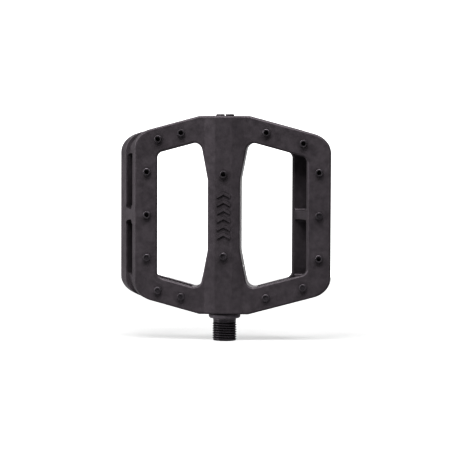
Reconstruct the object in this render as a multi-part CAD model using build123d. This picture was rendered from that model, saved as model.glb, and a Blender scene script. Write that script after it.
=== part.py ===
from build123d import *

import math
import os

# Flat bicycle pedal, left side. Millimetres. +Z runs along the spindle, from the threaded end
# at z = 0 to the outboard end. X is the length of the foot, and the tread faces look along -Y
# and +Y. The platform is the same after half a turn about Z.

# spindle
THREAD_R = 6.35            # 1/2 in, 20 threads to the inch
THREAD_TOP = 9.35          # full thread up to here, then it runs out at 45 degrees
RELIEF_R = 6.05
FLANGE_BOTTOM = 11.9
FLANGE_TOP = 14.0
FLANGE_R = 8.4
FLANGE_CHAMFER = 0.7
THREAD_CHAMFER = 0.5
JOURNAL_R = 6.0
JOURNAL_TOP = 32.45
JOURNAL_STEP = 1.0
SHAFT_R_LOW = 5.7          # the shaft tapers from here
SHAFT_R_HIGH = 4.4         # to here
TAPER_TOP = 93.45
KEY_FLATS = 6.0            # hex key socket in the threaded end
KEY_DEPTH = 8.0

# platform, as a whole
CENTRE_Z = 66.55
HALF_HEIGHT = 52.25
FLAT_HALF = 12.9           # half length of the level top and bottom edges
SLOPE = 0.27               # fall of the upper and lower rails, per millimetre of X
RAIL_HALF_T = 7.7          # half thickness of the rails along Y
SIDE_MID = 52.1            # outer side at mid thickness
LEAN = 0.655               # shift of the sides along X, per millimetre of Y
CORNER_R = 9.6
SIDE_RAIL_W = 12.7
END_RAIL_H = 13.35
EDGE_R = 1.1

# middle spine
SPINE_HALF_T = 9.57
SPINE_FLAT_HALF = 4.5
SPINE_FOOT_HALF = 10.3
SPINE_SIDE = 8.5
SPINE_KNEE_Z = 18.5
SPINE_FLARE = 0.194
CREASE_R = 2.5

# windows
WINDOW_OUTER_R = 3.2
WINDOW_INNER_R = 4.2
KNEE_R = 9.0

# slots through the side rails, and grooves round the rails
SLOT_END_Z = 32.3
SLOT_RIB_INNER = 2.35      # half height of the rib between two slots
SLOT_RIB_OUTER = 4.4       # and where it has flared out
SLOT_RIB_KNEE_X = 49.0
SLOT_END_R = 1.4
SLOT_BEND_R = 8.0
SLOT_BACK_Y = 4.2
SLOT_FRONT_INNER_Y = -5.7
SLOT_FRONT_OUTER_Y = -1.1
SLOT_RUN_IN = 1.0          # how far the slot's cutter reaches into the window
SLOT_RUN_OUT = 3.0         # and past the outer side
GROOVE_DEPTH = 1.8
GROOVE_HALF_W = 2.95
GROOVE_LEAN = 0.03
GROOVE_START_X = 17.0
RIB_HALF_H = 5.0
INNER_GROOVE_DEPTH = 2.4
INNER_GROOVE_HALF_W = 4.5
INNER_GROOVE_START_X = 17.5
RIM_R = 0.5                # rounding where slots and grooves open

# raised marks on the spine: plain chevrons
MARK_COUNT = 6
MARK_PITCH = 4.3
MARK_HALF_W = 3.5
MARK_RISE = 1.9
MARK_ARM = 1.5
MARK_HEIGHT = 0.7

# bores, from the inboard face upwards
SEAL_R = 8.0
SEAL_H = 2.5
SEAL_LIP_BOTTOM = 0.3      # the lip, above the seal's lower face
SEAL_LIP_TOP = 0.7
SEAL_BACK = 1.3
SEAL_MOUTH_W = 0.6
SEAL_BACK_W = 0.9
BUSH_R = 7.0
BUSH_BOTTOM = 17.05
BUSH_TOP = 31.65
CAVITY_R = 6.2
RUNNING_GAP = 0.04
END_ROOM = 0.3             # left at the blind end of a hole

# sealed ball bearing, 7 x 14 x 5
BEARING_Z = 101.45
BEARING_W = 5.0
BEARING_BORE_R = 3.5
BEARING_R = 7.0
INNER_RACE_R = 4.45
OUTER_RACE_R = 6.1
BALL_R = 1.0
BALL_COUNT = 8
BALL_CIRCLE_R = 5.275
BALL_GAP = 0.03
SHIELD_T = 0.25
SHIELD_RECESS = 0.25
CAGE_HALF_H = 1.3
CAGE_HALF_W = 0.3

# lock nut, washer and end cap
WASHER_T = 1.0
WASHER_R = 5.2
STUD_R = 3.0
NUT_FLATS = 10.0
NUT_H = 4.2
NUT_COLLAR_H = 1.4
NUT_COLLAR_R = 4.6
INSERT_R = 3.9
INSERT_SEAT = 0.2          # how far the insert goes into the nut's body
STUD_TOP = 113.65
CAP_R = 8.0
CAP_BOTTOM = 114.8
CAP_BOSS_R = 4.77
CAP_BOSS_H = 0.95
CAP_SLOT_W = 1.2
CAP_SLOT_DEPTH = 1.5
CAP_HOLLOW_R = 5.9
CAP_HOLLOW_DEPTH = 2.0
CAP_CHAMFER = 0.3
CAP_LAND = 1.2             # below the O-ring groove
O_RING_R = 0.5
O_RING_ROOM = 0.1

# traction pins: M4 x 5 socket set screws
PIN_R = 1.95
PIN_LENGTH = 5.0
PIN_PROUD = 1.9
PIN_KEY_FLATS = 2.0
PIN_KEY_DEPTH = 2.2
PIN_CHAMFER = 0.35
PIN_STEP_Z = 22.6
SPINE_PIN_Z = 21.55
LEFT_PIN_X = -40.65
RIGHT_PIN_X = 50.1
END_PINS = [(-34.8, 39.9), (-22.6, 43.2), (22.3, 43.4), (41.8, 37.85)]

FAR_X = 60.0               # past the sides
FAR_Y = 12.0               # past the tread faces
OVERCUT = 1.0              # cutters reach this far past a face
TOUCHING = 0.002
NEAR = 0.1
PLATFORM_TOP = CENTRE_Z + HALF_HEIGHT
PLATFORM_BOTTOM = CENTRE_Z - HALF_HEIGHT
BEARING_MID = BEARING_Z + BEARING_W / 2
RIDGE_Z = HALF_HEIGHT + SLOPE * FLAT_HALF
SLOPE_STRETCH = math.hypot(1, SLOPE)
LEAN_STRETCH = math.hypot(1, LEAN)


def half_turn(shape):
    return Rotation(0, 0, 180) * shape


def both_ends(shape):
    """The shape and its mirror image about the platform's mid height."""
    return shape + mirror(shape, about=Plane.XY.offset(CENTRE_Z))


def outline(points):
    return make_face(Polyline(*points, close=True))


def front_prism(face):
    """An outline in X and height above the platform's centre, carried right through along Y."""
    return Pos(0, 0, CENTRE_Z) * extrude(Plane.XZ * face, FAR_Y, both=True)


def plan_prism(face):
    """An outline in X and Y, carried over the platform's whole height."""
    return Pos(0, 0, CENTRE_Z) * extrude(face, HALF_HEIGHT, both=True)


def lathe(points):
    """An outline in radius and Z, turned about the spindle's axis."""
    return revolve(Plane.XZ * outline(points), Axis.Z)


def ring(inner, outer, bottom, top):
    return lathe([(inner, bottom), (outer, bottom), (outer, top), (inner, top)])


def disc(radius, bottom, top):
    return Pos(0, 0, bottom) * extrude(Circle(radius), top - bottom)


def hexagon(flats, bottom, top):
    return Pos(0, 0, bottom) * extrude(RegularPolygon(flats / math.sqrt(3), 6), top - bottom)


# ---------------------------------------------------------------- platform

def side_x(y, inset=0.0):
    """X of the right outer side at a depth Y."""
    return SIDE_MID - LEAN * y - inset * LEAN_STRETCH


def window_side_x(y):
    """X of the right window's outer edge at a depth Y."""
    return side_x(y) - SIDE_RAIL_W


def ridge_z(x, inset=0.0):
    """Height of the upper rail's outer edge at X."""
    return RIDGE_Z - SLOPE * x - inset * SLOPE_STRETCH


def rails_block(inset=0.0):
    """The platform's outer shape without its spine, shrunk by inset all round."""
    top = HALF_HEIGHT - inset
    flat = (ridge_z(0, inset) - top) / SLOPE
    upper = [(-FAR_X, ridge_z(FAR_X, inset)), (-flat, top), (flat, top), (FAR_X, ridge_z(FAR_X, inset))]
    face = outline(upper + [(-x, -z) for x, z in upper])
    t = RAIL_HALF_T
    half = [(side_x(-t, inset), -t), (side_x(t, inset), t)]
    block = front_prism(face) & plan_prism(outline(half + [(-x, -y) for x, y in half]))
    corners = [e for e in block.edges()
               if abs(e.tangent_at(0.5).Y) > 0.7 and abs(e.center().X) > SIDE_MID / 2]
    return fillet(corners, CORNER_R - inset)


def spine_block():
    t, s = RAIL_HALF_T, SPINE_HALF_T
    half = [(SPINE_FOOT_HALF, t), (SPINE_FLAT_HALF, s), (-SPINE_FLAT_HALF, s), (-SPINE_FOOT_HALF, t)]
    block = plan_prism(outline(half + [(-x, -y) for x, y in half]))
    creases = [e for e in block.edges()
               if abs(e.tangent_at(0.5).Z) > 0.9 and abs(e.center().Y) > s - NEAR]
    return fillet(creases, CREASE_R)


def window_edge_z(x, grow=0.0):
    return ridge_z(x, -grow) - END_RAIL_H


def half_plane_inside_rail():
    """Everything on the window's side of the right side rail."""
    return plan_prism(outline([(window_side_x(-FAR_Y), -FAR_Y), (window_side_x(FAR_Y), FAR_Y),
                               (0, FAR_Y), (0, -FAR_Y)]))


def window():
    """The right window, right through the platform."""
    foot = SPINE_SIDE - SPINE_FLARE * SPINE_KNEE_Z
    corner_z = (window_edge_z(0) - SLOPE * foot) / (1 + SLOPE * SPINE_FLARE)
    corner_x = foot + SPINE_FLARE * corner_z
    upper = [(SPINE_SIDE, SPINE_KNEE_Z), (corner_x, corner_z), (FAR_X, window_edge_z(FAR_X))]
    face = outline(upper + [(x, -z) for x, z in reversed(upper)])
    face = fillet([v for v in face.vertices() if SPINE_SIDE + NEAR < v.X < FAR_X - NEAR], WINDOW_INNER_R)
    face = fillet([v for v in face.vertices() if v.X < SPINE_SIDE + NEAR], KNEE_R)
    block = front_prism(face) & half_plane_inside_rail()
    corners = [e for e in block.edges()
               if abs(e.tangent_at(0.5).Y) > 0.7 and e.center().X > SIDE_MID / 2]
    return fillet(corners, WINDOW_OUTER_R)


def rim_edges(shape):
    """The edges between a tread face and a wall."""
    treads = [f for f in shape.faces() if abs(f.normal_at().Y) > 0.8]
    edges = [e for f in treads for e in f.edges()]
    return [e for e in edges if sum(e.is_same(other) for other in edges) == 1]


def platform_blank():
    right_window = window()
    blank = rails_block() + spine_block() - right_window - half_turn(right_window)
    return fillet(rim_edges(blank), EDGE_R)


def side_slot():
    """The upper slot through the right side rail, wider inside than outside."""
    front = (SLOT_FRONT_INNER_Y, SLOT_FRONT_OUTER_Y)
    near, far = window_side_x(front[0]), side_x(front[1])
    rise = (front[1] - front[0]) / (far - near)
    inside, outside = window_side_x(SLOT_BACK_Y) - SLOT_RUN_IN, far + SLOT_RUN_OUT
    plan = outline([(inside, front[0]), (near, front[0]), (outside, front[1] + rise * SLOT_RUN_OUT),
                    (outside, SLOT_BACK_Y), (inside, SLOT_BACK_Y)])
    plan = fillet([v for v in plan.vertices() if inside + NEAR < v.X < outside - NEAR], SLOT_BEND_R)
    face = outline([(inside, SLOT_RIB_INNER), (SLOT_RIB_KNEE_X, SLOT_RIB_INNER),
                    (outside, SLOT_RIB_OUTER), (outside, SLOT_END_Z), (inside, SLOT_END_Z)])
    slot = plan_prism(plan) & front_prism(face)
    return fillet([e for e in slot.edges() if abs(e.tangent_at(0.5).X) > 0.8], SLOT_END_R)


def outer_groove():
    """The groove round the right half's outer edge, stopped at the rib and near the spine."""
    band = [(x, GROOVE_LEAN * x + side * GROOVE_HALF_W)
            for x, side in ((GROOVE_START_X, -1), (FAR_X, -1), (FAR_X, 1), (GROOVE_START_X, 1))]
    rib = Pos(FAR_X, 0, CENTRE_Z) * Box(FAR_X, 2 * FAR_Y, 2 * RIB_HALF_H)
    return plan_prism(outline(band)) - rails_block(GROOVE_DEPTH) - rib


def inner_groove():
    """The groove in the right window's upper edge."""
    start, g = INNER_GROOVE_START_X, INNER_GROOVE_DEPTH
    face = outline([(start, 0), (start, window_edge_z(start, g)),
                    (FAR_X, window_edge_z(FAR_X, g)), (FAR_X, 0)])
    w = INNER_GROOVE_HALF_W
    plan = outline([(start, -w), (window_side_x(-w), -w), (window_side_x(w), w), (start, w)])
    return front_prism(face) & plan_prism(plan)


def outer_rims(body):
    """The edges where the outer groove opens."""
    core = rails_block(GROOVE_DEPTH / 2)

    def in_groove(p):
        return abs(p.X) > GROOVE_START_X - NEAR and abs(p.Y - GROOVE_LEAN * p.X) < GROOVE_HALF_W + NEAR

    return [e for e in body.edges() if in_groove(e @ 0.5) and not core.is_inside(e @ 0.5)]


def inner_rims(body):
    """The edges where the slots and inner grooves open into the windows."""
    right_window = window()
    walls = [f for f in right_window.faces() + half_turn(right_window).faces()
             if abs(f.normal_at().Y) < 0.9]

    def on_wall(p):
        return min(wall.distance_to(Vertex(p)) for wall in walls) < TOUCHING

    def in_reach(p):
        return abs(p.X) > GROOVE_START_X and abs(p.Y) < RAIL_HALF_T - EDGE_R - NEAR

    return [e for e in body.edges() if in_reach(e @ 0.5) and all(on_wall(e @ t) for t in (0.1, 0.5, 0.9))]


def cut_twice(body, cutter):
    return body - cutter - half_turn(cutter)


def marks():
    """Raised chevrons on the front of the spine."""
    w, a, r = MARK_HALF_W, MARK_ARM / 2, MARK_RISE / 2
    shape = outline([(-w, -r - a), (0, r - a), (w, -r - a), (w, -r + a), (0, r + a), (-w, -r + a)])
    heights = [(i - (MARK_COUNT - 1) / 2) * MARK_PITCH for i in range(MARK_COUNT)]
    faces = [Pos(0, z, 0) * shape for z in heights]
    base = Plane.XZ.offset(SPINE_HALF_T)
    return [Pos(0, 0, CENTRE_Z) * extrude(base * f, MARK_HEIGHT) for f in faces]


def axle_bore():
    below, above = PLATFORM_BOTTOM - OVERCUT, PLATFORM_TOP + OVERCUT
    steps = [(SEAL_R, below, PLATFORM_BOTTOM + SEAL_H), (BUSH_R, below, BUSH_TOP + END_ROOM),
             (CAVITY_R, below, above), (BEARING_R, BEARING_Z, above), (CAP_R, CAP_BOTTOM, above)]
    return [disc(*step) for step in steps]


def pin_holes():
    hole = PIN_LENGTH - PIN_PROUD + END_ROOM
    cutter = Pos(0, 0, -hole) * extrude(Circle(PIN_R), hole + OVERCUT)
    return [place * cutter for places in front_pin_places().values() for place in places]


def platform_body():
    body = cut_twice(platform_blank(), outer_groove())
    body = fillet(outer_rims(body), RIM_R)
    body = cut_twice(body, both_ends(side_slot()))
    body = cut_twice(body, both_ends(inner_groove()))
    body = fillet(inner_rims(body), RIM_R)
    for mark in marks():
        body = body + mark + half_turn(mark)
    for hole in pin_holes():
        body = cut_twice(body, hole)
    for step in axle_bore():
        body = body - step
    return body


# ---------------------------------------------------------------- traction pins

def front_pin_places():
    """Planes on the front tread face, looking outward, by zone."""
    def on_face(x, z, depth):
        return Plane(origin=(x, -depth, CENTRE_Z + z), x_dir=(1, 0, 0), z_dir=(0, -1, 0))

    steps = (PIN_STEP_Z, 0, -PIN_STEP_Z)
    return {
        "left_rail": [on_face(LEFT_PIN_X, z, RAIL_HALF_T) for z in steps],
        "right_rail": [on_face(RIGHT_PIN_X, z, RAIL_HALF_T) for z in steps],
        "upper_rail": [on_face(x, z, RAIL_HALF_T) for x, z in END_PINS],
        "lower_rail": [on_face(x, -z, RAIL_HALF_T) for x, z in END_PINS],
        "spine": [on_face(0, z, SPINE_HALF_T) for z in (SPINE_PIN_Z, -SPINE_PIN_Z)],
    }


def pin():
    """A socket set screw along +Z, with z = 0 at the tread face."""
    screw = Pos(0, 0, PIN_PROUD - PIN_LENGTH) * extrude(Circle(PIN_R), PIN_LENGTH)
    screw = chamfer(screw.edges().group_by(Axis.Z)[-1], PIN_CHAMFER)
    return screw - hexagon(PIN_KEY_FLATS, PIN_PROUD - PIN_KEY_DEPTH, PIN_PROUD)


def pin_groups():
    screw = pin()
    groups = {}
    for zone, places in front_pin_places().items():
        screws = [place * screw for place in places]
        groups[f"front_pins_{zone}"] = Compound(screws)
        groups[f"back_pins_{zone}"] = Compound([half_turn(s) for s in screws])
    return groups


# ---------------------------------------------------------------- spindle and its fittings

def spindle():
    c, f = THREAD_CHAMFER, FLANGE_CHAMFER
    run_out = THREAD_R - RELIEF_R
    shaft = lathe([
        (0, 0), (THREAD_R - c, 0), (THREAD_R, c), (THREAD_R, THREAD_TOP), (RELIEF_R, THREAD_TOP + run_out),
        (RELIEF_R, FLANGE_BOTTOM), (FLANGE_R - f, FLANGE_BOTTOM), (FLANGE_R, FLANGE_BOTTOM + f),
        (FLANGE_R, FLANGE_TOP), (JOURNAL_R, FLANGE_TOP), (JOURNAL_R, JOURNAL_TOP),
        (SHAFT_R_LOW, JOURNAL_TOP + JOURNAL_STEP), (SHAFT_R_HIGH, TAPER_TOP), (SHAFT_R_HIGH, BEARING_Z),
        (BEARING_BORE_R, BEARING_Z), (BEARING_BORE_R, BEARING_Z + BEARING_W),
        (STUD_R, BEARING_Z + BEARING_W), (STUD_R, STUD_TOP - c), (STUD_R - c, STUD_TOP), (0, STUD_TOP),
    ])
    return shaft - hexagon(KEY_FLATS, 0, KEY_DEPTH)


def inboard_seal():
    """A rubber ring with a lip that runs on the journal."""
    bottom, top = PLATFORM_BOTTOM, PLATFORM_BOTTOM + SEAL_H
    lip = JOURNAL_R + RUNNING_GAP
    return lathe([
        (lip + SEAL_MOUTH_W, bottom), (SEAL_R, bottom), (SEAL_R, top), (lip + SEAL_BACK_W, top),
        (lip + SEAL_BACK_W, bottom + SEAL_BACK), (lip, bottom + SEAL_LIP_TOP),
        (lip, bottom + SEAL_LIP_BOTTOM),
    ])


def inboard_bush():
    return ring(JOURNAL_R + RUNNING_GAP, BUSH_R, BUSH_BOTTOM, BUSH_TOP)


def ball_track():
    """The round track that the balls run in, cut from both races."""
    section = Plane.XZ * (Pos(BALL_CIRCLE_R, BEARING_MID) * Circle(BALL_R + BALL_GAP))
    return revolve(section, Axis.Z)


def race(inner, outer):
    return ring(inner, outer, BEARING_Z, BEARING_Z + BEARING_W) - ball_track()


def ball_places():
    return PolarLocations(BALL_CIRCLE_R, BALL_COUNT).locations


def bearing_balls():
    return Compound([Pos(0, 0, BEARING_MID) * place * Sphere(BALL_R) for place in ball_places()])


def bearing_cage():
    r = BALL_CIRCLE_R
    cage = ring(r - CAGE_HALF_W, r + CAGE_HALF_W, BEARING_MID - CAGE_HALF_H, BEARING_MID + CAGE_HALF_H)
    pocket = Rotation(0, 90, 0) * Cylinder(BALL_R + BALL_GAP, 3 * CAGE_HALF_W)
    for place in ball_places():
        cage = cage - Pos(0, 0, BEARING_MID) * place * pocket
    return cage


def bearing_shields():
    low = BEARING_Z + SHIELD_RECESS
    high = BEARING_Z + BEARING_W - SHIELD_RECESS - SHIELD_T
    inner = INNER_RACE_R + 2 * RUNNING_GAP
    return Compound([ring(inner, OUTER_RACE_R, z, z + SHIELD_T) for z in (low, high)])


def bearing_washer():
    bottom = BEARING_Z + BEARING_W
    return ring(STUD_R, WASHER_R, bottom, bottom + WASHER_T)


def lock_nut():
    bottom = BEARING_Z + BEARING_W + WASHER_T
    top = bottom + NUT_H
    nut = hexagon(NUT_FLATS, bottom, top) + disc(NUT_COLLAR_R, top, top + NUT_COLLAR_H)
    return nut - disc(STUD_R, bottom, top) - disc(INSERT_R, top - INSERT_SEAT, top + NUT_COLLAR_H)


def lock_nut_insert():
    top = BEARING_Z + BEARING_W + WASHER_T + NUT_H
    return ring(STUD_R, INSERT_R, top - INSERT_SEAT, top + NUT_COLLAR_H - INSERT_SEAT)


def end_cap():
    """A plug with an O-ring groove, and a slotted boss that stands out of the platform."""
    c, groove_r = CAP_CHAMFER, CAP_R - 2 * O_RING_R
    groove_z = CAP_BOTTOM + CAP_LAND
    groove_top = groove_z + 2 * O_RING_R + O_RING_ROOM
    boss_top = PLATFORM_TOP + CAP_BOSS_H
    cap = lathe([
        (0, CAP_BOTTOM), (CAP_R, CAP_BOTTOM), (CAP_R, groove_z), (groove_r, groove_z),
        (groove_r, groove_top), (CAP_R, groove_top), (CAP_R, PLATFORM_TOP), (CAP_BOSS_R, PLATFORM_TOP),
        (CAP_BOSS_R, boss_top - c), (CAP_BOSS_R - c, boss_top), (0, boss_top),
    ])
    slot = Pos(0, 0, boss_top) * Box(CAP_SLOT_W, 2 * CAP_R, 2 * CAP_SLOT_DEPTH)
    slot = slot & disc(CAP_BOSS_R, PLATFORM_TOP - CAP_SLOT_DEPTH, boss_top)
    return cap - slot - disc(CAP_HOLLOW_R, CAP_BOTTOM, CAP_BOTTOM + CAP_HOLLOW_DEPTH)


def end_cap_o_ring():
    centre = (CAP_R - O_RING_R, CAP_BOTTOM + CAP_LAND + O_RING_ROOM / 2 + O_RING_R)
    return revolve(Plane.XZ * (Pos(*centre) * Circle(O_RING_R)), Axis.Z)


# ---------------------------------------------------------------- all pieces

pieces = {
    "platform_body": platform_body(),
    "spindle": spindle(),
    "inboard_seal": inboard_seal(),
    "inboard_bush": inboard_bush(),
    "bearing_inner_race": race(BEARING_BORE_R, INNER_RACE_R),
    "bearing_outer_race": race(OUTER_RACE_R, BEARING_R),
    "bearing_balls": bearing_balls(),
    "bearing_cage": bearing_cage(),
    "bearing_shields": bearing_shields(),
    "bearing_washer": bearing_washer(),
    "lock_nut": lock_nut(),
    "lock_nut_insert": lock_nut_insert(),
    "end_cap": end_cap(),
    "end_cap_o_ring": end_cap_o_ring(),
}
pieces.update(pin_groups())

os.makedirs("parts", exist_ok=True)
for name, piece in pieces.items():
    export_step(piece, f"parts/{name}.step")
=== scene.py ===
"""Looks of a flat bicycle pedal: a moulded nylon platform with screwed pins on a threaded spindle.

The CAD platform, seals, bush and bearing keep their meshes and get materials. The spindle and the
traction pins are replaced by detailed meshes with real threads.
"""
import math

import bpy
import bmesh
from mathutils import Matrix, Vector


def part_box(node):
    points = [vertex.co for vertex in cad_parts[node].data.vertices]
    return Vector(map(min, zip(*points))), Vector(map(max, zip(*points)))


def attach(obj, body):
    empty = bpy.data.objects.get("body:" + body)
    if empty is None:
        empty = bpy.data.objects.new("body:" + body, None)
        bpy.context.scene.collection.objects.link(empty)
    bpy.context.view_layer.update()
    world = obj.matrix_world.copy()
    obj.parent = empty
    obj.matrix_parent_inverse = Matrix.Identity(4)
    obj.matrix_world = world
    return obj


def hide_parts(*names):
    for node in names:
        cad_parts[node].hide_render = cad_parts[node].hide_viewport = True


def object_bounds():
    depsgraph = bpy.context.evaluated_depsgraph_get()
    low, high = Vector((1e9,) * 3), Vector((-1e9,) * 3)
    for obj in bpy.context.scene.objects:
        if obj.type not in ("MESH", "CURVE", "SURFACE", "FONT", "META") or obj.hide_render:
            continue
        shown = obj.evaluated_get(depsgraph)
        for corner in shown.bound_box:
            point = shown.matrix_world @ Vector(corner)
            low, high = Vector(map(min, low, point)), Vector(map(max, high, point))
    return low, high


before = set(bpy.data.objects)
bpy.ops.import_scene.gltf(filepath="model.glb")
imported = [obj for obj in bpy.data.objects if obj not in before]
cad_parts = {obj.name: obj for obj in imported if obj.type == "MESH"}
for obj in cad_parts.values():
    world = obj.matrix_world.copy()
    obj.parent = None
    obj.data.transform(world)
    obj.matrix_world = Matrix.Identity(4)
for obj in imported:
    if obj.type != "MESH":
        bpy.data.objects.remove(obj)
CAD_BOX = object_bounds()

MM = 0.001
TURN = 2 * math.pi
RIGHT_HAND, LEFT_HAND = 1, -1
SAME_POINT = 0.001 * MM        # points this close are one
SHARP_ANGLE = 32               # degrees between faces, above which their edge looks sharp


# ---------------------------------------------------------------- mesh helpers

def skin(name, rows):
    """A closed mesh over rows of points. Each row goes once round, its last point on its first or,
    on a helix, one pitch further on, and the first and last rows close up on the axis."""
    bm = bmesh.new()
    lines = [[bm.verts.new(p) for p in row] for row in rows]
    for low, high in zip(lines, lines[1:]):
        for i in range(len(low) - 1):
            bm.faces.new((low[i], low[i + 1], high[i + 1], high[i]))
    bmesh.ops.remove_doubles(bm, verts=bm.verts, dist=SAME_POINT)
    bmesh.ops.dissolve_degenerate(bm, edges=bm.edges, dist=SAME_POINT)
    bmesh.ops.recalc_face_normals(bm, faces=bm.faces)
    mesh = bpy.data.meshes.new(name)
    bm.to_mesh(mesh)
    bm.free()
    return mesh


def joined(name, meshes):
    bm = bmesh.new()
    for mesh in meshes:
        bm.from_mesh(mesh)
    merged = bpy.data.meshes.new(name)
    bm.to_mesh(merged)
    bm.free()
    return merged


def add_piece(mesh, material, body, slot, *stands_for):
    """A mesh as a piece that rides on a CAD body and stands for some of its nodes."""
    piece = bpy.data.objects.new(mesh.name, mesh)
    bpy.context.scene.collection.objects.link(piece)
    mesh.materials.append(material)
    mesh.shade_smooth()
    mesh.set_sharp_from_angle(angle=math.radians(SHARP_ANGLE))
    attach(piece, body)
    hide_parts(*stands_for)
    return piece


def circle(radius, z, count):
    return [Vector((radius * math.cos(TURN * i / count), radius * math.sin(TURN * i / count), z))
            for i in range(count + 1)]


def hexagon(flats, z, count):
    """A hexagon sampled at even angles, so that it joins onto a circle of the same count."""
    ring = []
    for i in range(count + 1):
        a = TURN * i / count
        off = (a + TURN / 12) % (TURN / 6) - TURN / 12
        r = flats / 2 / math.cos(off)
        ring.append(Vector((r * math.cos(a), r * math.sin(a), z)))
    return ring


def lathe(outline, count):
    return [circle(r, z, count) for r, z in outline]


def softened(outline, size, steps=3, most=0.45):
    """An outline of (radius, z) points with its inner corners rounded off. A rounding takes no
    more than a share, most, of an edge."""
    result = [outline[0]]
    for before, corner, after in zip(outline, outline[1:], outline[2:]):
        b, c, a = Vector(before), Vector(corner), Vector(after)
        cut = min(size, (b - c).length * most, (a - c).length * most)
        start, end = c + (b - c).normalized() * cut, c + (a - c).normalized() * cut
        for i in range(steps + 1):
            t = i / steps
            result.append(tuple(start.lerp(c, t).lerp(c.lerp(end, t), t)))
    return result + [outline[-1]]


def thread(crest_r, depth, pitch, low, high, hand, count):
    """Rows that follow a helix between two ends, each given as (radius, z). An end meets a
    45 degree cone from its radius, as a chamfer or a run-out leaves it. The profile gives, along
    one pitch, the share of the depth that the surface is sunk."""
    profile = [(0.0, 1), (0.03, 1), (0.29, 0), (0.5, 0), (0.71, 0), (0.97, 1)]
    turns = math.ceil((high[1] - low[1]) / pitch) + 1
    rows = []
    for level, sunk in ((turn + step, sunk) for turn in range(-1, turns) for step, sunk in profile):
        row = []
        for i in range(count + 1):
            share = i / count if hand == RIGHT_HAND else 1 - i / count
            z = min(max(low[1] + pitch * (level + share), low[1]), high[1])
            from_low, from_high = z - low[1], high[1] - z
            r = min(crest_r - sunk * depth, low[0] + from_low, high[0] + from_high)
            r = max(r, low[0] - from_low, high[0] - from_high)
            a = TURN * i / count
            row.append(Vector((r * math.cos(a), r * math.sin(a), z)))
        rows.append(row)
    return rows


# ---------------------------------------------------------------- spindle

PEDAL_PITCH, PEDAL_DEPTH = 1.27 * MM, 0.66 * MM        # 20 threads to the inch
STUD_PITCH, STUD_DEPTH = 0.75 * MM, 0.42 * MM
SPINDLE_ROUND = 96                                     # points round the spindle

THREAD_R, THREAD_END_R, THREAD_TOP = 6.35, 5.85, 9.35
RELIEF_R = 6.05
RELIEF_BOTTOM = THREAD_TOP + THREAD_R - RELIEF_R
FLANGE_R, FLANGE_SEAT_R = 8.4, 7.7
FLANGE_BOTTOM, FLANGE_TOP = 11.9, 14.0
PAINTED_LIGHT_LINE = 11.1                                        # dark oxide below; up to the flange's top the oxide is painted lighter, painted light on the collar
JOURNAL_R, JOURNAL_TOP, JOURNAL_STEP = 6.0, 32.45, 1.0
SHAFT_LOW_R, SHAFT_HIGH_R, TAPER_TOP = 5.7, 4.4, 93.45
BEARING_R, BEARING_BOTTOM, BEARING_TOP = 3.5, 101.45, 106.45
STUD_R, STUD_NECK_R, STUD_END_R = 3.0, 2.95, 2.5
STUD_THREAD_BOTTOM = BEARING_TOP + 0.4
KEY_FLATS, KEY_DEPTH, KEY_MOUTH_R = 6.0, 8.0, 3.75
KEY_MOUTH_DEPTH, KEY_DRILL_POINT = 0.35, 0.9
END_FACE_R = THREAD_END_R - 0.1
CORNER_SOFTENING = 0.22


def spindle_rows():
    """From the bottom of the key socket, round the threaded end, and up to the tip of the stud."""
    n = SPINDLE_ROUND
    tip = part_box("spindle")[1].z
    socket = [circle(0, (KEY_DEPTH + KEY_DRILL_POINT) * MM, n), hexagon(KEY_FLATS * MM, KEY_DEPTH * MM, n),
              hexagon(KEY_FLATS * MM, KEY_MOUTH_DEPTH * MM, n)]
    end_face = lathe([(KEY_MOUTH_R * MM, 0), (END_FACE_R * MM, 0)], n)
    pedal = thread(THREAD_R * MM, PEDAL_DEPTH, PEDAL_PITCH, (THREAD_END_R * MM, 0),
                   (RELIEF_R * MM, RELIEF_BOTTOM * MM), LEFT_HAND, n)
    body = softened([
        (RELIEF_R, RELIEF_BOTTOM), (RELIEF_R, PAINTED_LIGHT_LINE), (RELIEF_R, FLANGE_BOTTOM),
        (FLANGE_SEAT_R, FLANGE_BOTTOM),
        (FLANGE_R, FLANGE_BOTTOM + FLANGE_R - FLANGE_SEAT_R), (FLANGE_R, FLANGE_TOP),
        (JOURNAL_R, FLANGE_TOP), (JOURNAL_R, JOURNAL_TOP), (SHAFT_LOW_R, JOURNAL_TOP + JOURNAL_STEP),
        (SHAFT_HIGH_R, TAPER_TOP), (SHAFT_HIGH_R, BEARING_BOTTOM), (BEARING_R, BEARING_BOTTOM),
        (BEARING_R, BEARING_TOP), (STUD_NECK_R, BEARING_TOP), (STUD_NECK_R, STUD_THREAD_BOTTOM),
    ], CORNER_SOFTENING)
    shaft = lathe([(r * MM, z * MM) for r, z in body], n)
    stud = thread(STUD_R * MM, STUD_DEPTH, STUD_PITCH, (STUD_NECK_R * MM, STUD_THREAD_BOTTOM * MM),
                  (STUD_END_R * MM, tip), RIGHT_HAND, n)
    return socket + end_face + pedal + shaft + stud + [circle(0, tip, n)]


def build_spindle(thread_finish, collar_painted_lighter):
    """The spindle in dark oxide, with a lighter copy of the oxide on the collar above the thread: painted
    light standing in for the light that falls on the flange.
    """
    piece = add_piece(skin("spindle_shaft", spindle_rows()), thread_finish, "spindle", "spindle_steel", "spindle")
    piece.data.materials.append(collar_painted_lighter)
    for face in piece.data.polygons:
        # faces of the collar take the lighter copy, painted light on the flange
        face.material_index = int(PAINTED_LIGHT_LINE * MM < face.center.z < FLANGE_TOP * MM)


# ---------------------------------------------------------------- traction pins

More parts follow.
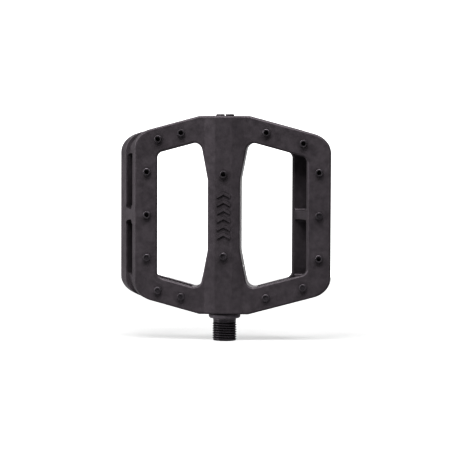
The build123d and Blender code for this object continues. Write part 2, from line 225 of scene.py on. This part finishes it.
PIN_PITCH, PIN_DEPTH = 0.7 * MM, 0.36 * MM
PIN_R, PIN_END_R, PIN_LENGTH = 1.95 * MM, 1.7 * MM, 5.0 * MM
PIN_KEY = 2.0 * MM
PIN_SOCKET, PIN_SHALLOW_SOCKET = 2.0 * MM, 0.42 * MM
PIN_MOUTH_R, PIN_MOUTH_DEPTH = 1.2 * MM, 0.25 * MM
PIN_POINT_R, PIN_CUP_R, PIN_CUP_DEPTH = 1.2 * MM, 0.9 * MM, 0.5 * MM
PIN_ROUND = 48                                         # points round a pin
PIN_TURN = 2.4                                         # radians from one socket to the next
PIN_REACH = 2.5 * PIN_R                                # points this close are of one pin
ZONES = ("left_rail", "right_rail", "upper_rail", "lower_rail", "spine")
# the pins of each zone whose sockets are nearly full, counted as places_of and build_pins sort them
SHALLOW = {"left_rail": (2,), "right_rail": (1,), "lower_rail": (0, 1, 2, 3), "spine": (1,)}


def set_screw(name, socket):
    """A cup point set screw along Z, its key end at z = 0 and its point below."""
    n = PIN_ROUND
    rows = [circle(0, -PIN_LENGTH + PIN_CUP_DEPTH, n), circle(PIN_CUP_R, -PIN_LENGTH, n)]
    rows += thread(PIN_R, PIN_DEPTH, PIN_PITCH, (PIN_POINT_R, -PIN_LENGTH), (PIN_END_R, 0), RIGHT_HAND, n)
    rows += [circle(PIN_MOUTH_R, 0, n), circle(PIN_MOUTH_R, -PIN_MOUTH_DEPTH, n)]
    rows += [hexagon(PIN_KEY, -PIN_MOUTH_DEPTH, n), hexagon(PIN_KEY, -socket, n), circle(0, -socket, n)]
    return skin(name, rows)


def places_of(node):
    """The outer end of each pin in a CAD node, and which way along Y it points."""
    corners = [v.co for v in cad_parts[node].data.vertices]
    side = 1 if corners[0].y > 0 else -1
    clusters = []
    for co in corners:
        for cluster in clusters:
            if math.hypot(co.x - cluster[0].x, co.z - cluster[0].z) < PIN_REACH:
                cluster.append(co)
                break
        else:
            clusters.append([co])
    places = []
    for cluster in clusters:
        xs, ys, zs = ([co[i] for co in cluster] for i in range(3))
        tip = max(ys) if side > 0 else min(ys)
        places.append(Vector(((min(xs) + max(xs)) / 2, tip, (min(zs) + max(zs)) / 2)))
    return sorted(places, key=lambda p: (-round(p.z, 3), side * -p.x)), side


def build_pins(material):
    for face in ("front", "back"):
        for zone in ZONES:
            node = f"{face}_pins_{zone}"
            places, side = places_of(node)
            if zone in ("upper_rail", "lower_rail"):
                places.sort(key=lambda p: -side * p.x)
            screws = []
            for i, place in enumerate(places):
                shallow = i in SHALLOW.get(zone, ())
                screw = set_screw(node, PIN_SHALLOW_SOCKET if shallow else PIN_SOCKET)
                turned = Matrix.Rotation(PIN_TURN * i + len(zone), 4, "Z")
                outward = Matrix.Rotation(-side * math.pi / 2, 4, "X")
                screw.transform(Matrix.Translation(place) @ outward @ turned)
                screws.append(screw)
            mesh = joined(f"{face}_screws_{zone}", screws)
            add_piece(mesh, material, "platform", "pin_steel", node)


# ---------------------------------------------------------------- materials

class Shader:
    """A material with one Principled shader, and short calls for the nodes that feed it."""

    def __init__(self, name, color, metallic=0.0, roughness=0.5, ior=1.5):
        self.material = bpy.data.materials.new(name)
        self.material.use_nodes = True
        self.nodes = self.material.node_tree.nodes
        self.links = self.material.node_tree.links
        self.principled = self.nodes["Principled BSDF"]
        self.set("Base Color", (*color, 1))
        self.set("Metallic", metallic)
        self.set("Roughness", roughness)
        self.set("IOR", ior)
        self.place = self.nodes.new("ShaderNodeTexCoord").outputs["Object"]
        self.normal = None

    def set(self, socket, value):
        self.principled.inputs[socket].default_value = value

    def noise(self, size, detail=3.0, rough=0.55, stretch=None):
        """Noise from 0 to 1, with blobs of about the given size in metres."""
        node = self.nodes.new("ShaderNodeTexNoise")
        node.inputs["Scale"].default_value = 1 / size
        node.inputs["Detail"].default_value = detail
        node.inputs["Roughness"].default_value = rough
        place = self.place
        if stretch:
            mapping = self.nodes.new("ShaderNodeMapping")
            mapping.inputs["Scale"].default_value = stretch
            self.links.new(place, mapping.inputs["Vector"])
            place = mapping.outputs["Vector"]
        self.links.new(place, node.inputs["Vector"])
        return node.outputs["Fac"]

    def ranged(self, value, low, high, to_low, to_high):
        node = self.nodes.new("ShaderNodeMapRange")
        for socket, number in zip(("From Min", "From Max", "To Min", "To Max"), (low, high, to_low, to_high)):
            node.inputs[socket].default_value = number
        self.links.new(value, node.inputs["Value"])
        return node.outputs["Result"]

    def color_between(self, value, dark, light):
        node = self.nodes.new("ShaderNodeMix")
        node.data_type = "RGBA"
        self.links.new(value, node.inputs["Factor"])
        node.inputs[6].default_value = (*dark, 1)            # 6, 7 and output 2 are its colours
        node.inputs[7].default_value = (*light, 1)
        self.links.new(node.outputs[2], self.principled.inputs["Base Color"])

    def roughness(self, value, low, high):
        self.links.new(self.ranged(value, 0.3, 0.7, low, high), self.principled.inputs["Roughness"])

    def average(self, first, second, share=0.5):
        node = self.nodes.new("ShaderNodeMix")
        node.inputs["Factor"].default_value = share
        self.links.new(first, node.inputs[2])                # 2, 3 and output 0 are its numbers
        self.links.new(second, node.inputs[3])
        return node.outputs[0]

    def bump(self, value, height):
        """Raises the surface by up to height, in metres, on top of any bump set before."""
        node = self.nodes.new("ShaderNodeBump")
        node.inputs["Strength"].default_value = 1.0
        node.inputs["Distance"].default_value = height
        self.links.new(value, node.inputs["Height"])
        if self.normal:
            self.links.new(self.normal, node.inputs["Normal"])
        self.normal = node.outputs["Normal"]
        self.links.new(self.normal, self.principled.inputs["Normal"])


def moulded_nylon():
    """Matte glass-filled nylon: a fine spark-eroded grain, cloudy flow marks and a little sheen."""
    s = Shader("moulded_nylon", (0.05, 0.0455, 0.049), roughness=0.46, ior=1.5)
    s.set("Specular IOR Level", 0.38)
    s.set("Specular Tint", (1.0, 0.91, 0.98, 1))
    grain = s.noise(0.42 * MM, detail=4, rough=0.6)
    clouds = s.noise(3.2 * MM, detail=5, rough=0.62)
    flow = s.noise(14 * MM, detail=3, stretch=(1.0, 1.0, 0.5))
    s.color_between(s.ranged(s.average(clouds, flow, 0.4), 0.38, 0.62, 0, 1),
                    (0.0422, 0.0384, 0.0414), (0.0605, 0.0550, 0.0593))
    s.roughness(s.average(clouds, grain, 0.35), 0.38, 0.54)
    s.bump(flow, 0.12 * MM)
    s.bump(clouds, 0.05 * MM)
    s.bump(grain, 0.065 * MM)
    return s.material


def black_oxide(name, shade, rough, metallic, scratch_size):
    """Blackened steel with fine turning marks and uneven tone."""
    s = Shader(name, (shade, shade * 0.93, shade), metallic=metallic, roughness=rough, ior=1.6)
    s.set("Specular Tint", (1.0, 0.92, 1.0, 1))
    tone = s.noise(2.2 * MM, detail=3)
    marks = s.noise(scratch_size, detail=3, stretch=(0.3, 0.3, 4.0))
    s.color_between(s.ranged(tone, 0.3, 0.7, 0, 1), (shade * 0.7, shade * 0.65, shade * 0.7),
                    (shade * 1.35, shade * 1.25, shade * 1.35))
    s.roughness(s.average(tone, marks), rough - 0.08, rough + 0.1)
    s.bump(marks, 0.008 * MM)
    return s.material


def metal(name, color, rough, mark_height=0.004 * MM):
    """Clean machined metal: turning marks round Z, faint stains."""
    s = Shader(name, color, metallic=1.0, roughness=rough)
    stains = s.noise(1.8 * MM, detail=4)
    marks = s.noise(0.3 * MM, detail=2, stretch=(0.2, 0.2, 5.0))
    s.color_between(s.ranged(stains, 0.35, 0.7, 0, 1), tuple(c * 0.82 for c in color), color)
    s.roughness(s.average(stains, marks), max(rough - 0.06, 0.04), rough + 0.1)
    s.bump(marks, mark_height)
    return s.material


def soft_polymer(name, color, rough, grain_size, grain_height):
    """Rubber or unfilled nylon: an even tone with faint clouds and a fine skin."""
    s = Shader(name, color, roughness=rough, ior=1.5)
    clouds = s.noise(1.5 * MM, detail=3)
    grain = s.noise(grain_size, detail=3)
    s.color_between(clouds, tuple(c * 0.75 for c in color), tuple(c * 1.25 for c in color))
    s.roughness(s.average(clouds, grain), rough - 0.08, rough + 0.08)
    s.bump(grain, grain_height)
    return s.material


def finish_cad_nodes():
    """Gives a finish to each CAD node that stays."""
    steel = metal("bearing_steel", (0.66, 0.66, 0.67), 0.16)
    zinc = metal("zinc_plate", (0.58, 0.59, 0.6), 0.34)
    rubber = soft_polymer("nitrile_rubber", (0.03, 0.028, 0.029), 0.55, 0.25 * MM, 0.01 * MM)
    finishes = {
        "platform_body": moulded_nylon(),
        "inboard_seal": rubber,
        "inboard_bush": metal("sintered_bronze", (0.46, 0.29, 0.13), 0.42, 0.012 * MM),
        "bearing_inner_race": steel,
        "bearing_outer_race": steel,
        "bearing_balls": metal("ball_steel", (0.7, 0.7, 0.71), 0.07, 0.0),
        "bearing_cage": metal("pressed_steel", (0.5, 0.5, 0.5), 0.3),
        "bearing_shields": rubber,
        "bearing_washer": zinc,
        "lock_nut": zinc,
        "lock_nut_insert": soft_polymer("blue_nylon", (0.05, 0.12, 0.42), 0.4, 0.2 * MM, 0.004 * MM),
        "end_cap": soft_polymer("cap_nylon", (0.05, 0.0455, 0.049), 0.45, 0.35 * MM, 0.02 * MM),
        "end_cap_o_ring": rubber,
    }
    for node, material in finishes.items():
        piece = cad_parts[node]
        for slot in piece.material_slots:
            slot.material = material


# ---------------------------------------------------------------- stage, light and camera

FLOOR_RADIUS = 0.45


def build_floor():
    """A white table lit from within, level with the end of the thread."""
    bpy.ops.mesh.primitive_circle_add(vertices=128, radius=FLOOR_RADIUS, fill_type="NGON")
    floor = bpy.context.object
    floor.name = "floor"
    s = Shader("opal_acrylic", (0.2, 0.2, 0.2), roughness=0.6)
    s.color_between(s.noise(0.1), (0.195, 0.195, 0.195), (0.205, 0.205, 0.205))
    s.set("Emission Color", (1, 1, 1, 1))
    s.set("Emission Strength", 0.303)
    floor.data.materials.append(s.material)


# soft light: where it comes from, how strong it is there, and its half width in degrees
SKY = {
    "left_screen": ((-1, 0, 0.2), 1.05, 50),
    "back_wall": ((0, 1, 0.04), 1.45, 46),
}


def sky_patch(nodes, links, name, direction, strength, half_width):
    """A soft-edged patch of light round one direction."""
    toward = nodes.new("ShaderNodeVectorMath")
    toward.operation = "DOT_PRODUCT"
    toward.inputs[1].default_value = Vector(direction).normalized()
    links.new(nodes["Texture Coordinate"].outputs["Generated"], toward.inputs[0])
    patch = nodes.new("ShaderNodeMapRange")
    patch.name = name
    patch.interpolation_type = "SMOOTHSTEP"
    edge, core = (math.cos(math.radians(half_width * share)) for share in (1, 0.2))
    for socket, number in zip(("From Min", "From Max", "To Min", "To Max"), (edge, core, 0, strength)):
        patch.inputs[socket].default_value = number
    links.new(toward.outputs["Value"], patch.inputs["Value"])
    return patch.outputs["Result"]


def build_world():
    """White all round to look at, and lit by the patches of the sky."""
    world = bpy.data.worlds.new("studio")
    bpy.context.scene.world = world
    world.use_nodes = True
    nodes, links = world.node_tree.nodes, world.node_tree.links
    nodes.new("ShaderNodeTexCoord")
    seen = nodes["Background"]
    seen.inputs["Color"].default_value = (1, 1, 1, 1)
    lit = nodes.new("ShaderNodeBackground")
    total = None
    for name, (direction, strength, half_width) in SKY.items():
        patch = sky_patch(nodes, links, name, direction, strength, half_width)
        if total:
            both = nodes.new("ShaderNodeMath")
            links.new(total, both.inputs[0])
            links.new(patch, both.inputs[1])
            patch = both.outputs["Value"]
        total = patch
    links.new(total, lit.inputs["Strength"])
    mix = nodes.new("ShaderNodeMixShader")
    links.new(nodes.new("ShaderNodeLightPath").outputs["Is Camera Ray"], mix.inputs["Fac"])
    links.new(lit.outputs["Background"], mix.inputs[1])
    links.new(seen.outputs["Background"], mix.inputs[2])
    links.new(mix.outputs["Shader"], nodes["World Output"].inputs["Surface"])


# lamps far away: where each stands, its strength in watts per square metre, its width in degrees
# and whether glossy surfaces reflect it
LAMPS = {
    "key": ((0.5, -0.6, 1.4), 1.95, 34, True),
    "left_fill": ((-1.0, -0.3, 0.5), 1.1, 30, True),
    "back_fill": ((0.25, 1.0, 0.02), 1.4, 6, False),
}

# lit panels round the table: where, what height they face, width and height, all in metres, and watts
PANELS = {
    "left_strip": ((-0.93, -0.36, 0.6), 0.6, (0.1, 1.2), 3.0),
    "right_strip": ((0.68, -0.73, 0.6), 0.6, (0.1, 1.2), 1.3),
    "top_box": ((-0.12, -0.40, 0.70), 0.08, (0.4, 0.4), 5.1),
}


def aim(thing, at):
    thing.rotation_euler = (Vector(at) - thing.location).to_track_quat("-Z", "Y").to_euler()


def add_lamps():
    for name, (stand, strength, width, glossy) in LAMPS.items():
        light = bpy.data.lights.new(name, "SUN")
        light.energy, light.angle = strength, math.radians(width)
        lamp = bpy.data.objects.new(name, light)
        bpy.context.scene.collection.objects.link(lamp)
        lamp.location = stand
        lamp.visible_glossy = glossy
        aim(lamp, (0, 0, 0))


def add_panels():
    for name, (stand, faces, (width, height), power) in PANELS.items():
        light = bpy.data.lights.new(name, "AREA")
        light.shape = "RECTANGLE"
        light.size, light.size_y, light.energy = width, height, power
        lamp = bpy.data.objects.new(name, light)
        bpy.context.scene.collection.objects.link(lamp)
        lamp.location = stand
        aim(lamp, (0, 0, faces))


CAMERA_AZIMUTH, CAMERA_ELEVATION, CAMERA_ROLL = 4.44, 2.87, 0.20       # degrees
CAMERA_DISTANCE = 1.079
CAMERA_SIDE, CAMERA_RISE = 0.6 * MM, 0.675 * MM      # of the aim, from the middle of the box
LENS = 162.2


def build_camera():
    low, high = CAD_BOX
    at = (low + high) / 2 + Vector((CAMERA_SIDE, 0, CAMERA_RISE))
    a, e = math.radians(CAMERA_AZIMUTH), math.radians(CAMERA_ELEVATION)
    back = Vector((math.sin(a) * math.cos(e), -math.cos(a) * math.cos(e), math.sin(e)))
    data = bpy.data.cameras.new("camera")
    data.lens, data.sensor_width = LENS, 36.0
    data.clip_start, data.clip_end = 0.05, 50.0
    camera = bpy.data.objects.new("camera", data)
    bpy.context.scene.collection.objects.link(camera)
    camera.location = at + back * CAMERA_DISTANCE
    look = (-back).to_track_quat("-Z", "Y")
    roll = Matrix.Rotation(math.radians(CAMERA_ROLL), 4, "Z").to_quaternion()
    camera.rotation_euler = (look @ roll).to_euler()
    bpy.context.scene.camera = camera


# ---------------------------------------------------------------- the scene

build_camera()
finish_cad_nodes()
# the second oxide is the first made lighter: painted light for the collar and flange
build_spindle(black_oxide("thread_oxide", 0.018, 0.19, 0.0, 0.5 * MM),
              black_oxide("collar_oxide_painted_lighter", 0.088, 0.42, 0.2, 0.5 * MM))
build_pins(black_oxide("blackened_pins", 0.048, 0.4, 0.3, 0.25 * MM))
build_floor()
build_world()
add_lamps()
add_panels()
bpy.context.scene.view_settings.view_transform = "Standard"
bpy.context.scene.view_settings.look = "Very High Contrast"
